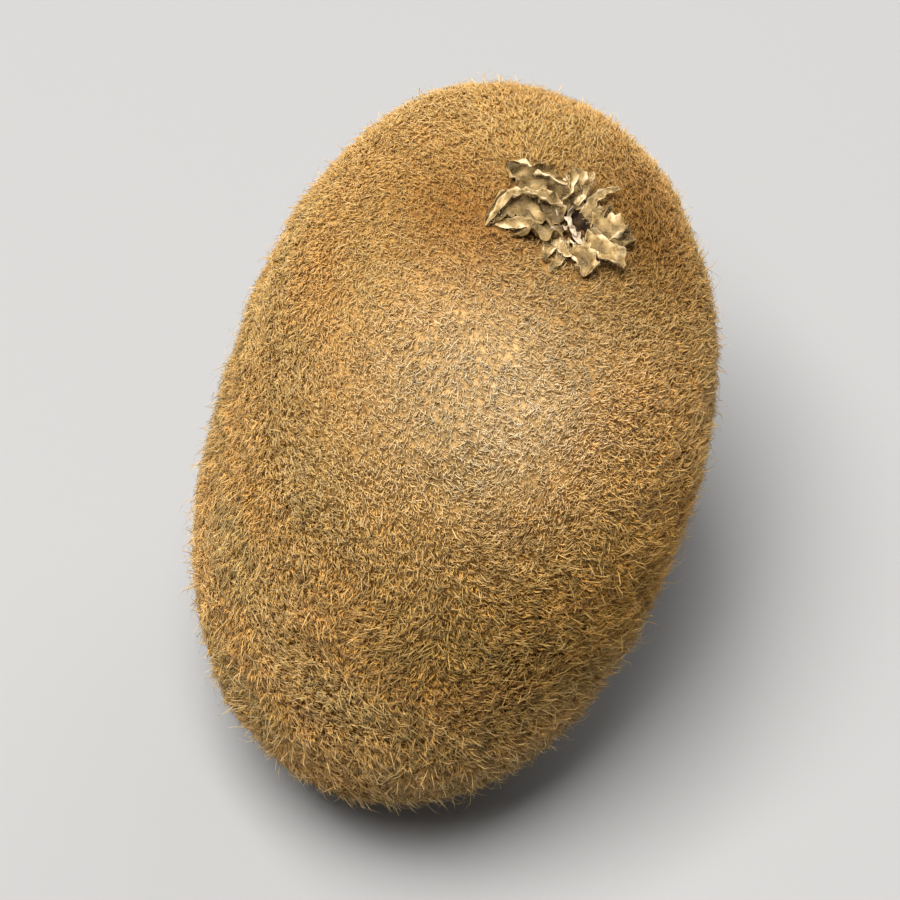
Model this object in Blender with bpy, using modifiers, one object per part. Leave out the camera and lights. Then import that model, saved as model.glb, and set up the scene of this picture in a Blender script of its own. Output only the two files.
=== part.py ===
"""Kiwi fruit, picked, standing a little askew on the small flat spot beside its blossom end.

The pieces are the fruit with its stem scar, six dry sepals round the scar, and the dry tuft of
styles at the blossom end. Metres, +Z up. The origin is the middle of the flat spot.
"""
import math

import bmesh
import bpy
from mathutils import Matrix, Vector

# The fruit along its own axis: from its widest section to the stem end and to the blossom end.
STEM_SIDE = 0.0328
BLOSSOM_SIDE = 0.0350
# The widest section is an oval.
NARROW_WIDTH = 0.0428
BROAD_WIDTH = 0.0524
# How full the two ends are: 2 is an ellipse, more is blunter.
STEM_FULLNESS = 2.56
BLOSSOM_FULLNESS = 2.75
# The middle line leans a little over each section, and bows.
SLANT = (-0.07, 0.04)
BOW_PER_METRE = -1.1
# Mesh fineness of the fruit.
FRUIT_AROUND = 48
FRUIT_ALONG = 44

# The hollow at the stem end and the stalk's scar in it, beside the end of the middle line.
SCAR_BESIDE_END = (0.0038, -0.0003)
STEM_HOLLOW_DEPTH = 0.0014
STEM_HOLLOW_REACH = 0.0070
SCAR_RADIUS = 0.0016
SCAR_RIM_HEIGHT = 0.0006
SCAR_ROOT = 0.0015
SCAR_STEPS = 20
# The scar's outline from its sunken middle over its rim, in shares of its radius and rim height.
SCAR_OUTLINE = ((0.0, 0.3), (0.45, 0.35), (0.70, 1.0), (0.90, 0.9), (1.0, 0.2))
# The hollow at the blossom end, which the tuft of styles sits in.
BLOSSOM_HOLLOW_DEPTH = 0.0014
BLOSSOM_HOLLOW_REACH = 0.0036

# How the fruit stands: the middle of its widest section over the flat spot, and its lean.
STANDS_AT = (0.0024, 0.0010, 0.0345)
LEAN = math.radians(17.7)
LEANS_TOWARDS = math.radians(20.5)
SPIN = math.radians(-33.3)
TABLE_BLOCK = 0.08

# Sepals: name, bearing round the scar in degrees, length, half width, and curl along the length.
SEPALS = (
    ("sepal_right", 8.0, 0.0040, 0.0024, 0.45),
    ("sepal_back_right", 74.0, 0.0046, 0.0019, 0.80),
    ("sepal_back_left", 132.0, 0.0052, 0.0020, 0.70),
    ("sepal_left", 190.0, 0.0064, 0.0017, 0.50),
    ("sepal_front_left", 240.0, 0.0040, 0.0016, 0.35),
    ("sepal_front", 298.0, 0.0042, 0.0021, 0.25),
)
SEPAL_STARTS_AT = 0.0020
# The width along a sepal, in shares of its half width and length: a narrow foot, then an arch.
SEPAL_FOOT = 0.20
ARCH_FROM = 0.03
ARCH_LENGTH = 0.85
ARCH_POWER = 0.9
SEPAL_THICKNESS = 0.0005
SEPAL_ROWS = 9
SEPAL_COLUMNS = 7
FREE_GAP = 0.0003

# The dry tuft of styles: a low star with rounded points.
TUFT_RADIUS = 0.0015
TUFT_POINTS = 8
TUFT_POINT_LENGTH = 0.0009
TUFT_POINT_POWER = 3
TUFT_HALF_HEIGHT = 0.0004
TUFT_THINS_BY = 0.4
TUFT_RINGS = 8

# Fineness and limits of the working.
SHARP_EDGE = math.radians(35)
MERGE_DISTANCE = 0.00001
HEIGHT_STEPS = 6
OUTERMOST = 0.99
NEAR_AXIS = 1e-9

for old in list(bpy.data.objects):
    bpy.data.objects.remove(old)
for old in list(bpy.data.collections):
    bpy.data.collections.remove(old)

kiwi = bpy.data.collections.new("kiwi_fruit")
tools = bpy.data.collections.new("cutters")
bpy.context.scene.collection.children.link(kiwi)
bpy.context.scene.collection.children.link(tools)


def finish(name, colour, roughness):
    """A plain dry finish of one colour."""
    material = bpy.data.materials.new(name)
    material.use_nodes = True
    shader = material.node_tree.nodes["Principled BSDF"]
    shader.inputs["Base Color"].default_value = (*colour, 1.0)
    shader.inputs["Roughness"].default_value = roughness
    shader.inputs["Metallic"].default_value = 0.0
    return material


def new_object(name, mesh, collection):
    """An object for a mesh, in its collection and on the fruit's axis."""
    made = bpy.data.objects.new(name, mesh)
    collection.objects.link(made)
    made.parent = axis
    mesh.shade_smooth()
    mesh.set_sharp_from_angle(angle=SHARP_EDGE)
    return made


def as_tool(tool):
    """Marks an object as a guide that cuts or joins and is not a piece of the fruit."""
    tool.hide_render = True
    tool.display_type = "WIRE"
    return tool


def boolean(target, tool, operation):
    """Cuts or joins with a closed tool."""
    step = target.modifiers.new(tool.name, "BOOLEAN")
    step.operation = operation
    step.solver = "EXACT"
    step.object = tool


def middle_line(height):
    """Where the middle line passes at a height along the fruit's axis."""
    return Vector((SLANT[0] * height + BOW_PER_METRE * height**2, SLANT[1] * height))


STEM_END = middle_line(STEM_SIDE)
SCAR_PLACE = STEM_END + Vector(SCAR_BESIDE_END)
BLOSSOM_PLACE = middle_line(-BLOSSOM_SIDE)


def hollow(x, y, centre, depth, reach):
    """Depth of a soft round hollow: a bell curve of the distance from its centre."""
    away = math.hypot(x - centre.x, y - centre.y)
    return depth * math.exp(-((away / reach) ** 2))


def skin_point(unit):
    """Moves a point of a unit ball to the fruit: a blunt oval about the middle line, with hollows."""
    stem_half = unit.z >= 0
    fullness = STEM_FULLNESS if stem_half else BLOSSOM_FULLNESS
    end = STEM_SIDE if stem_half else -BLOSSOM_SIDE
    out = math.hypot(unit.x, unit.y)
    height = end * abs(unit.z) ** (2 / fullness)
    spread = out ** (2 / fullness - 1) if out > NEAR_AXIS else 0.0
    middle = middle_line(height)
    x = middle.x + NARROW_WIDTH / 2 * spread * unit.x
    y = middle.y + BROAD_WIDTH / 2 * spread * unit.y
    if stem_half:
        height -= hollow(x, y, SCAR_PLACE, STEM_HOLLOW_DEPTH, STEM_HOLLOW_REACH)
    else:
        height += hollow(x, y, BLOSSOM_PLACE, BLOSSOM_HOLLOW_DEPTH, BLOSSOM_HOLLOW_REACH)
    return Vector((x, y, height))


def stem_end_height(x, y):
    """Height of the skin at a place near the stem end, by stepping towards where the oval passes."""
    height = STEM_SIDE
    for _ in range(HEIGHT_STEPS):
        middle = middle_line(height)
        out = math.hypot((x - middle.x) / (NARROW_WIDTH / 2), (y - middle.y) / (BROAD_WIDTH / 2))
        height = STEM_SIDE * (1 - min(out, OUTERMOST) ** STEM_FULLNESS) ** (1 / STEM_FULLNESS)
    return height - hollow(x, y, SCAR_PLACE, STEM_HOLLOW_DEPTH, STEM_HOLLOW_REACH)


def make_fruit():
    """The furry body: a reshaped ball, joined with the stalk's scar and cut flat where it rests."""
    shape = bmesh.new()
    bmesh.ops.create_uvsphere(shape, u_segments=FRUIT_AROUND, v_segments=FRUIT_ALONG, radius=1.0)
    for point in shape.verts:
        point.co = skin_point(point.co)
    mesh = bpy.data.meshes.new("fruit")
    shape.to_mesh(mesh)
    shape.free()
    mesh.materials.append(finish("skin", (0.36, 0.22, 0.09), 0.85))
    fruit = new_object("fruit", mesh, kiwi)
    boolean(fruit, make_scar(), "UNION")
    boolean(fruit, make_table(), "DIFFERENCE")
    return fruit


def make_scar():
    """The stalk's scar: a low turned disc with a raised rim and a sunken middle."""
    floor = stem_end_height(*SCAR_PLACE)
    outline = [(SCAR_RADIUS * out, SCAR_RIM_HEIGHT * height) for out, height in SCAR_OUTLINE]
    outline += [(SCAR_RADIUS, -SCAR_ROOT), (0.0, -SCAR_ROOT)]
    shape = bmesh.new()
    points = [shape.verts.new((out, 0.0, height)) for out, height in outline]
    for first, second in zip(points, points[1:]):
        shape.edges.new((first, second))
    mesh = bpy.data.meshes.new("stem_scar")
    shape.to_mesh(mesh)
    shape.free()
    scar = as_tool(new_object("stem_scar", mesh, tools))
    scar.location = (*SCAR_PLACE, floor)
    turn = scar.modifiers.new("turned", "SCREW")
    turn.axis = "Z"
    turn.angle = math.tau
    turn.steps = SCAR_STEPS
    turn.render_steps = SCAR_STEPS
    turn.use_merge_vertices = True
    turn.merge_threshold = MERGE_DISTANCE
    return scar


def make_table():
    """The block below the flat spot that takes the bottom of the blossom end off."""
    shape = bmesh.new()
    bmesh.ops.create_cube(shape, size=TABLE_BLOCK)
    mesh = bpy.data.meshes.new("table_block")
    shape.to_mesh(mesh)
    shape.free()
    table = as_tool(new_object("table_block", mesh, tools))
    table.parent = None
    table.location = (0.0, 0.0, -TABLE_BLOCK / 2)
    return table


def make_sepal(name, bearing, length, half_width, curl):
    """A dry sepal: a leaf-shaped plate that leaves the scar's rim and bends up along an arc."""
    shape = bmesh.new()
    bmesh.ops.create_grid(shape, x_segments=SEPAL_ROWS - 1, y_segments=SEPAL_COLUMNS - 1, size=0.5)
    heading = Matrix.Rotation(math.radians(bearing), 2)
    for point in shape.verts:
        along = point.co.x + 0.5
        across = 2 * point.co.y
        outwards = SEPAL_STARTS_AT + length * math.sin(curl * along) / curl
        rise = length * (1 - math.cos(curl * along)) / curl
        arch = math.sin(math.pi * (ARCH_FROM + ARCH_LENGTH * along)) ** ARCH_POWER
        width = half_width * (SEPAL_FOOT + (1 - SEPAL_FOOT) * arch)
        place = SCAR_PLACE + heading @ Vector((outwards, across * width))
        point.co = (*place, stem_end_height(*place) + FREE_GAP + rise)
    mesh = bpy.data.meshes.new(name)
    shape.to_mesh(mesh)
    shape.free()
    mesh.materials.append(dry_leaf)
    sepal = new_object(name, mesh, kiwi)
    wall = sepal.modifiers.new("thickness", "SOLIDIFY")
    wall.thickness = SEPAL_THICKNESS
    wall.offset = 1.0
    return sepal


def make_tuft():
    """The dry styles: a low star that fills the middle of the blossom end's hollow."""
    floor = -BLOSSOM_SIDE + BLOSSOM_HOLLOW_DEPTH
    shape = bmesh.new()
    bmesh.ops.create_uvsphere(shape, u_segments=4 * TUFT_POINTS, v_segments=TUFT_RINGS, radius=1.0)
    for point in shape.verts:
        around = math.atan2(point.co.y, point.co.x)
        point_share = abs(math.cos(around * TUFT_POINTS / 2)) ** TUFT_POINT_POWER
        reach = TUFT_RADIUS + TUFT_POINT_LENGTH * point_share
        out = math.hypot(point.co.x, point.co.y)
        place = BLOSSOM_PLACE + reach * Vector((point.co.x, point.co.y))
        bend = hollow(*BLOSSOM_PLACE, BLOSSOM_PLACE, BLOSSOM_HOLLOW_DEPTH, BLOSSOM_HOLLOW_REACH)
        bend -= hollow(*place, BLOSSOM_PLACE, BLOSSOM_HOLLOW_DEPTH, BLOSSOM_HOLLOW_REACH)
        thin = TUFT_HALF_HEIGHT * (1 - TUFT_THINS_BY * out)
        height = floor - FREE_GAP - TUFT_HALF_HEIGHT - bend + thin * point.co.z
        point.co = (*place, height)
    mesh = bpy.data.meshes.new("style_tuft")
    shape.to_mesh(mesh)
    shape.free()
    mesh.materials.append(finish("dry_style", (0.07, 0.04, 0.02), 0.9))
    return new_object("style_tuft", mesh, kiwi)


axis = bpy.data.objects.new("fruit_axis", None)
bpy.context.scene.collection.objects.link(axis)
axis.matrix_world = (
    Matrix.Translation(STANDS_AT)
    @ Matrix.Rotation(LEANS_TOWARDS, 4, "Z")
    @ Matrix.Rotation(LEAN, 4, "Y")
    @ Matrix.Rotation(SPIN, 4, "Z")
)
make_fruit()
dry_leaf = finish("dry_sepal", (0.50, 0.40, 0.24), 0.75)
for sepal_values in SEPALS:
    make_sepal(*sepal_values)
make_tuft()
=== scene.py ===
"""Looks of the kiwi fruit: a rough brown peel under dense golden-brown fuzz, dry sepals and dry styles.

The sections follow the fruit from its peel outwards: peel, stalk's scar, sepals, stalk's strands, style
tuft, fuzz and down. The stage is last.
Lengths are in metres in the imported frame, unless a comment says millimetres: +Z up, the resting spot
at the origin.
"""
import itertools

import bpy
import numpy as np
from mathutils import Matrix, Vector


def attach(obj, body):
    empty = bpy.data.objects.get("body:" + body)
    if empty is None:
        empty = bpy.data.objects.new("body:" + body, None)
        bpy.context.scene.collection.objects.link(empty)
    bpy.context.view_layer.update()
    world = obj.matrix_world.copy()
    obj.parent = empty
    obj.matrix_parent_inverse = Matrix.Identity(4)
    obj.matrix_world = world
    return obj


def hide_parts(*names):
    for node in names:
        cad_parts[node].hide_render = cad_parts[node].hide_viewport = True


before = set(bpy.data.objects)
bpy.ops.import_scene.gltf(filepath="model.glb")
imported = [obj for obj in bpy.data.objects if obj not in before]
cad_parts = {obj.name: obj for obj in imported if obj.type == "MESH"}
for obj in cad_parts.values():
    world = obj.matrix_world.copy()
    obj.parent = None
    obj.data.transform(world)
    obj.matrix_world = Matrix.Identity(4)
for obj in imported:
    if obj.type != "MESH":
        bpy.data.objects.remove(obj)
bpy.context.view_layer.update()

# The skin. The real one is a thin, tough brown peel over firm flesh, rough like fine sandpaper, in
# one piece from the hollow round the stalk's scar to the hollow at the blossom end. The fruit is an
# oval about a slightly leaning middle line, and is pressed flat where it rests.

STEM_SIDE, BLOSSOM_SIDE = 0.0328, 0.0350  # widest section to either end, along the fruit's axis
NARROW_WIDTH, BROAD_WIDTH = 0.0428, 0.0524
STEM_FULLNESS, BLOSSOM_FULLNESS = 2.56, 2.75  # 2 is an ellipse, more is blunter
SLANT, BOW_PER_METRE = (-0.07, 0.04), -1.1  # of the middle line
STANDS_AT = np.array([0.0024, 0.0010, 0.0345])  # the middle of the widest section
LEAN, LEANS_TOWARDS, SPIN = np.radians([17.7, 20.5, -33.3])
STEM_HOLLOW, BLOSSOM_HOLLOW = (0.0014, 0.0070), (0.0014, 0.0036)  # depth and reach
SCAR_ASIDE = (0.0038, -0.0003)  # from where the middle line meets the stem end
PRESSED_EDGE = 0.0002  # the height in which the resting spot rounds into the side
SWELLS, BUMPS = (0.00010, 0.009), (0.00004, 0.0012)  # how far they stand out, and their size
EVEN_BELOW = 0.002  # the height below which the peel grows smoother, down to the resting spot
SKIN_AROUND, SKIN_DOWN = 260, 150


def turn_z(angle):
    """The matrix that turns points about Z."""
    c, s = np.cos(angle), np.sin(angle)
    return np.array([[c, -s, 0.0], [s, c, 0.0], [0.0, 0.0, 1.0]])


def turn_y(angle):
    """The matrix that turns points about Y."""
    c, s = np.cos(angle), np.sin(angle)
    return np.array([[c, 0.0, s], [0.0, 1.0, 0.0], [-s, 0.0, c]])


FRUIT_TURN = turn_z(LEANS_TOWARDS) @ turn_y(LEAN) @ turn_z(SPIN)


def stand(points):
    """Places points given along the fruit's own axes: turned by its lean, and set where it stands."""
    return points @ FRUIT_TURN.T + STANDS_AT


def middle_line(height):
    """Where the middle line passes: a straight slant plus a bow that grows with the square of height."""
    return SLANT[0] * height + BOW_PER_METRE * height**2, SLANT[1] * height


SCAR_X, SCAR_Y = np.add(middle_line(STEM_SIDE), SCAR_ASIDE)
BLOSSOM_X, BLOSSOM_Y = middle_line(-BLOSSOM_SIDE)


def hollow(x, y, centre_x, centre_y, depth, reach):
    """A soft round hollow: its depth times a bell curve of the distance from its centre."""
    return depth * np.exp(-((x - centre_x) ** 2 + (y - centre_y) ** 2) / reach**2)


def ripples(points, size, seed, waves=14):
    """Smooth random relief of unit strength: a sum of plane waves of about one size, in all directions."""
    chance = np.random.default_rng(seed)
    ways = chance.normal(size=(waves, 3))
    lengths = np.linalg.norm(ways, axis=1)[:, None]
    ways *= (2 * np.pi / size) * chance.uniform(0.6, 1.4, (waves, 1)) / lengths
    return np.sin(points @ ways.T + chance.uniform(0, 2 * np.pi, waves)).sum(-1) / np.sqrt(waves / 2)


def skin(around, down):
    """The skin's point at two angles, the second 0 at the stem end and pi at the blossom end.

    Height is the end's length times the cosine of down to the power 2 / fullness, and reach from the
    middle line is the half width times its sine to that power. The hollows are then pressed in, and
    the height over the floor becomes its soft maximum with 0.
    """
    cosine, sine = np.cos(down), np.maximum(np.sin(down), 0.0)
    stem_half = cosine >= 0
    power = 2 / np.where(stem_half, STEM_FULLNESS, BLOSSOM_FULLNESS)
    height = np.where(stem_half, STEM_SIDE, -BLOSSOM_SIDE) * np.abs(cosine) ** power
    middle_x, middle_y = middle_line(height)
    x = middle_x + NARROW_WIDTH / 2 * sine**power * np.cos(around)
    y = middle_y + BROAD_WIDTH / 2 * sine**power * np.sin(around)
    height = height - stem_half * hollow(x, y, SCAR_X, SCAR_Y, *STEM_HOLLOW)
    height = height + ~stem_half * hollow(x, y, BLOSSOM_X, BLOSSOM_Y, *BLOSSOM_HOLLOW)
    place = stand(np.stack([x, y, height], -1))
    place[..., 2] = (place[..., 2] + np.hypot(place[..., 2], PRESSED_EDGE)) / 2
    return place


def skin_slopes(around, down, step=1e-3):
    """The skin's two tangents, per radian, and its outward normal, from small steps in both angles."""
    down = np.clip(down, 2 * step, np.pi - 2 * step)
    across = (skin(around + step, down) - skin(around - step, down)) / (2 * step)
    along = (skin(around, down + step) - skin(around, down - step)) / (2 * step)
    normal = np.cross(along, across)
    return across, along, normal / np.linalg.norm(normal, axis=-1, keepdims=True)


def relief(points):
    """How far the peel stands out: broad swells plus fine bumps, and nothing where the fruit rests."""
    uneven = SWELLS[0] * ripples(points, SWELLS[1], 2) + BUMPS[0] * ripples(points, BUMPS[1], 1)
    return uneven * np.clip(points[..., 2] / EVEN_BELOW, 0, 1)


WORN_HIGHLIGHT_PLACE, WORN_HIGHLIGHT_REACH = (0.0055, -0.0105, 0.0640), 0.0100  # where rubbing has made it pale, and where a highlight is painted
PEEL_PALER_IN_WORN_HIGHLIGHT = 0.20  # on top of the tint, the share by which the peel is paler there, partly painted highlight
# The tint away from the rubbed place; there it turns white, partly a painted highlight.
TINT_BESIDE_WORN_HIGHLIGHT = (0.86, 0.735, 0.467)
PAINTED_LIGHT_AND_TINT_PLACES = [  # each with its middle, its reach and its tint; most paint shade and light, as noted
    ((0.0113, 0.0060, 0.0645), 0.0036, (0.50, 0.41, 0.32)),  # brown round the scar, and painted shade under the sepals
    ((0.0020, 0.0050, 0.0675), 0.0065, (0.69, 0.56, 0.39)),  # painted shade of the hollow left of the scar, over russet
    ((0.0183, 0.0070, 0.0602), 0.0090, (0.45, 0.35, 0.20)),  # painted shade right of it, over russet
    ((0.0115, -0.0040, 0.0650), 0.0060, (0.84, 0.80, 0.74)),  # tan, darkened as painted shade, in front of it
    ((0.0165, -0.0095, 0.0585), 0.0080, (1.05, 1.05, 1.10)),  # painted highlight, on the right shoulder
    ((0.0180, -0.0165, 0.0370), 0.0130, (1.03, 0.93, 0.60)),  # painted warm reflected light, on the right flank
    ((0.0040, -0.0235, 0.0400), 0.0120, (0.77, 0.73, 0.60)),  # olive, darkened as painted shade, low on the front
    ((-0.0045, -0.0167, 0.0566), 0.0070, (0.98, 1.04, 1.12)),  # greyish olive, left of the worn place
]


def nearness(points, middle, reach):
    """A bell curve of the distance from a place: 1 there, and 1/e at its reach."""
    return np.exp(-((np.linalg.norm(points - np.array(middle), axis=-1) / reach) ** 2))


def blend(share, first, second):
    """Colours between two others, by shares that are held between 0 and 1."""
    share = np.clip(share, 0, 1)[..., None]
    return (1 - share) * np.array(first) + share * np.array(second)


def place_tints_and_painted_light(points):
    """Peel and fuzz tint by place: white at the rubbed place (wear and painted highlight), brown elsewhere,
    times the places' tints and painted light.
    """
    tints = blend(nearness(points, WORN_HIGHLIGHT_PLACE, WORN_HIGHLIGHT_REACH), TINT_BESIDE_WORN_HIGHLIGHT, (1, 1, 1))
    for middle, reach, tint in PAINTED_LIGHT_AND_TINT_PLACES:
        tints = tints * blend(nearness(points, middle, reach), (1, 1, 1), tint)
    return tints


def set_attribute(mesh, name, values):
    """Stores one number, or one colour, for each point of a mesh."""
    colour = values.ndim == 2
    attribute = mesh.attributes.new(name, "FLOAT_COLOR" if colour else "FLOAT", "POINT")
    if colour:
        values = np.column_stack([values, np.ones(len(values))])
    attribute.data.foreach_set("color" if colour else "value", values.ravel().astype(np.float32))


def new_piece(name, mesh, material):
    """An object for a finished mesh at the origin, smooth, with its material, riding on the fruit."""
    mesh.materials.append(material)
    mesh.shade_smooth()
    piece = bpy.data.objects.new(name, mesh)
    bpy.context.scene.collection.objects.link(piece)
    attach(piece, "root")
    return piece


def ring_grid(end, rings, points, turn=2 * np.pi):
    """The two parameters of a surface of rings: the way along, from 0 to its end, and the angle round."""
    along, around = np.linspace(0, end, rings), np.linspace(0, turn, points, endpoint=False)
    return np.meshgrid(along, around, indexing="ij")


def pole_to_pole(rings):
    """Points given as rings, or their values, in one list: the first and the last ring count once."""
    between = rings[1:-1].reshape(-1, *rings.shape[2:])
    return np.concatenate([rings[0, :1], between, rings[-1, :1]])


def ring_faces(rows, columns):
    """Faces over such a list: a fan of triangles, rows of four-sided faces, and a fan of triangles."""
    here = 1 + np.arange((rows - 2) * columns).reshape(rows - 2, columns)
    beside = np.roll(here, -1, axis=1)
    quads = np.stack([here[:-1], here[1:], beside[1:], beside[:-1]], -1).reshape(-1, 4)
    top = np.stack([np.zeros(columns, int), here[0], beside[0]], -1)
    bottom = np.stack([np.full(columns, here[-1, -1] + 1), beside[-1], here[-1]], -1)
    return top, quads, bottom


def closed_mesh(name, forms):
    """One mesh of closed forms, each given as rings of points from pole to pole."""
    points = [pole_to_pole(rings) for rings in forms]
    starts = np.cumsum([0] + [len(group) for group in points])
    faces = []
    for rings, start in zip(forms, starts):
        for group in ring_faces(*rings.shape[:2]):
            faces += (start + group).tolist()
    mesh = bpy.data.meshes.new(name)
    mesh.from_pydata(np.concatenate(points), [], faces)
    mesh.update()
    return mesh


def node_adder(tree):
    """A short way to add a node to a tree, with its settings and its sockets' values by name."""

    def add(kind, **values):
        node = tree.nodes.new(kind)
        for key, value in values.items():
            if key in node.inputs:
                node.inputs[key].default_value = value
            else:
                setattr(node, key, value)
        return node

    return add


def material_nodes(name):
    """A new material with its Principled shader, and short ways to add and link nodes in it."""
    material = bpy.data.materials.new(name)
    material.use_nodes = True
    tree = material.node_tree
    return material, tree.nodes["Principled BSDF"], node_adder(tree), tree.links.new


def colour_group(name, *inputs):
    """A new node group from named colours to one colour, with short ways to add and link nodes in it."""
    group = bpy.data.node_groups.new(name, "ShaderNodeTree")
    for colour in inputs:
        group.interface.new_socket(colour, in_out="INPUT", socket_type="NodeSocketColor")
    group.interface.new_socket("Color", in_out="OUTPUT", socket_type="NodeSocketColor")
    add, link = node_adder(group), group.links.new
    return group, add("NodeGroupInput").outputs, add("NodeGroupOutput").inputs["Color"], add, link


def product(add, link, first, second):
    """Adds a node that multiplies two colours."""
    mix = add("ShaderNodeMix", data_type="RGBA", blend_type="MULTIPLY", Factor=1.0)
    link(first, mix.inputs["A"])
    link(second, mix.inputs["B"])
    return mix.outputs["Result"]


def colour_ramp(add, *stops):
    """A colour ramp from pairs of position and colour."""
    ramp = add("ShaderNodeValToRGB")
    for index, (position, colour) in enumerate(stops):
        element = ramp.color_ramp.elements[index] if index < 2 else ramp.color_ramp.elements.new(position)
        element.position = position
        element.color = (*colour, 1.0)
    return ramp


def tint_group():
    """A colour times the tint that each point of the mesh holds."""
    group, inputs, result, add, link = colour_group("own_tint", "Color")
    tint = add("ShaderNodeAttribute", attribute_name="tint")
    link(product(add, link, inputs["Color"], tint.outputs["Color"]), result)
    return group


OWN_TINT = tint_group()


def skin_material():
    """Dull brown peel: darker and paler patches, a fine grain, dark pores, and its tint and painted light
    by place.
    """
    material, shader, add, link = material_nodes("peel")
    place = add("ShaderNodeTexCoord")
    patches = add("ShaderNodeTexNoise", Scale=90.0, Detail=3.0)
    grain = add("ShaderNodeTexNoise", Scale=1600.0, Detail=4.0)
    pores = add("ShaderNodeTexVoronoi", Scale=900.0)
    for texture in (patches, grain, pores):
        link(place.outputs["Object"], texture.inputs["Vector"])
    dark_brown, pale_brown = (0.33, 0.21, 0.085), (0.48, 0.332, 0.155)
    tone = colour_ramp(add, (0.35, dark_brown), (0.65, pale_brown))
    link(patches.outputs["Fac"], tone.inputs["Fac"])
    dark_grain, pale_grain = (0.50, 0.45, 0.40), (1.20, 1.15, 1.05)
    speckle = colour_ramp(add, (0.35, dark_grain), (0.70, pale_grain))
    link(grain.outputs["Fac"], speckle.inputs["Fac"])
    pore_brown, white = (0.45, 0.38, 0.30), (1.0, 1.0, 1.0)
    pits = colour_ramp(add, (0.10, pore_brown), (0.35, white))
    link(pores.outputs["Distance"], pits.inputs["Fac"])
    colour = tone.outputs["Color"]
    for marks in (speckle, pits):
        colour = product(add, link, colour, marks.outputs["Color"])
    tinted = add("ShaderNodeGroup", node_tree=OWN_TINT)
    link(colour, tinted.inputs["Color"])
    link(tinted.outputs["Color"], shader.inputs["Base Color"])
    bump = add("ShaderNodeBump", Strength=0.6, Distance=0.00008)
    link(grain.outputs["Fac"], bump.inputs["Height"])
    link(bump.outputs["Normal"], shader.inputs["Normal"])
    shader.inputs["Roughness"].default_value = 0.8
    shader.inputs["Specular IOR Level"].default_value = 0.2
    return material


down, around = ring_grid(np.pi, SKIN_DOWN, SKIN_AROUND)
rest_points = skin(around, down)
skin_points = rest_points + relief(rest_points)[..., None] * skin_slopes(around, down)[2]
peel_mesh = closed_mesh("peel", [skin_points])
peel_places = pole_to_pole(skin_points)
# The peel is paler still at the rubbed place: real wear with a painted highlight.
peel_worn_highlight = PEEL_PALER_IN_WORN_HIGHLIGHT * nearness(peel_places, WORN_HIGHLIGHT_PLACE, WORN_HIGHLIGHT_REACH)
set_attribute(peel_mesh, "tint", place_tints_and_painted_light(peel_places) * (1 + peel_worn_highlight[:, None]))
peel = new_piece("peel", peel_mesh, skin_material())
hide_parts("fruit")

# The stalk's scar. Where the stalk broke off there is a shallow woody crater in the hollow at the stem
# end. It is dark brown inside a paler corky rim, darker still as painted shade in the crater, and rough
# where its fibres tore.

SCAR_PLACE = stand(np.array([SCAR_X, SCAR_Y, STEM_SIDE - STEM_HOLLOW[0]]))
SCAR_RADIUS, SCAR_RIM, SCAR_DEPTH = 2.1, 0.5, 0.4  # in millimetres, as the values below
SCAR_FOOT, SCAR_FLANK = 2.6, 2.2  # how deep it is buried, and how steeply its flank falls
FLANK_REACH, OUTLINE_WAVES = 0.25, (0.10, 0.06)  # shares of the radius
COARSE_BUMPS, FINE_BUMPS = (0.12, 0.9), (0.05, 0.35)  # how far they stand out, and their size


def beside_scar(x, y, height):
    """World places from millimetres along the fruit's own axes, counted from the middle of the scar."""
    return SCAR_PLACE + np.stack(np.broadcast_arrays(x, y, height), -1) @ FRUIT_TURN.T / 1000


def scar_surface(around, outwards):
    """The scar at an angle and a share from its middle, 0, over its rim, 1, to its buried foot, 2.

    The height is a crater that rises to the rim and falls to the foot, plus rough bumps; the outline
    is a circle with a few uneven waves.
    """
    wobble = 1 + OUTLINE_WAVES[0] * np.sin(3 * around + 1.0) + OUTLINE_WAVES[1] * np.sin(7 * around)
    radius = SCAR_RADIUS * np.minimum(outwards, 1 + FLANK_REACH * (outwards - 1)) * wobble
    crater = (SCAR_RIM + SCAR_DEPTH) * np.minimum(outwards, 1) ** 3 - SCAR_DEPTH
    height = crater - SCAR_FLANK * np.maximum(outwards - 1, 0) ** 1.5
    x, y = radius * np.cos(around), radius * np.sin(around)
    flat = np.stack([x, y, 0 * x], -1)
    height += COARSE_BUMPS[0] * ripples(flat, COARSE_BUMPS[1], 21)
    height += FINE_BUMPS[0] * ripples(flat, FINE_BUMPS[1], 22)
    return beside_scar(x, y, height)


def scar_material():
    """Dark woody brown, darkened further as painted shade of the crater, with pale corky flecks."""
    material, shader, add, link = material_nodes("scar")
    place = add("ShaderNodeTexCoord")
    grain = add("ShaderNodeTexNoise", Scale=1100.0, Detail=4.0)
    link(place.outputs["Object"], grain.inputs["Vector"])
    # The darkest wood is darkened further as painted shade of the crater.
    wood_and_shade, rough, cork = (0.012, 0.006, 0.0025), (0.048, 0.027, 0.012), (0.13, 0.085, 0.045)
    tone = colour_ramp(add, (0.40, wood_and_shade), (0.62, rough), (0.75, cork))
    link(grain.outputs["Fac"], tone.inputs["Fac"])
    link(tone.outputs["Color"], shader.inputs["Base Color"])
    shader.inputs["Roughness"].default_value = 0.9
    shader.inputs["Specular IOR Level"].default_value = 0.15
    return material


SCAR_AROUND, SCAR_OUTWARDS = 96, 48
outwards, around = ring_grid(2, SCAR_OUTWARDS, SCAR_AROUND)
scar_rings = scar_surface(around, outwards)
scar_rings[-1] = beside_scar(0.0, 0.0, -SCAR_FOOT)
new_piece("stalk_scar", closed_mesh("stalk_scar", [scar_rings]), scar_material())

# The sepals. Six dry papery leaves stay round the scar, where they grew. They have shrivelled: some
# are rolled in from both sides, some are torn into strips, and their thin pale rims stand up in waves,
# paler still with a painted highlight.
# Every strip is one thin closed sheet, bent along its middle line and rolled across it.

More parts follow.
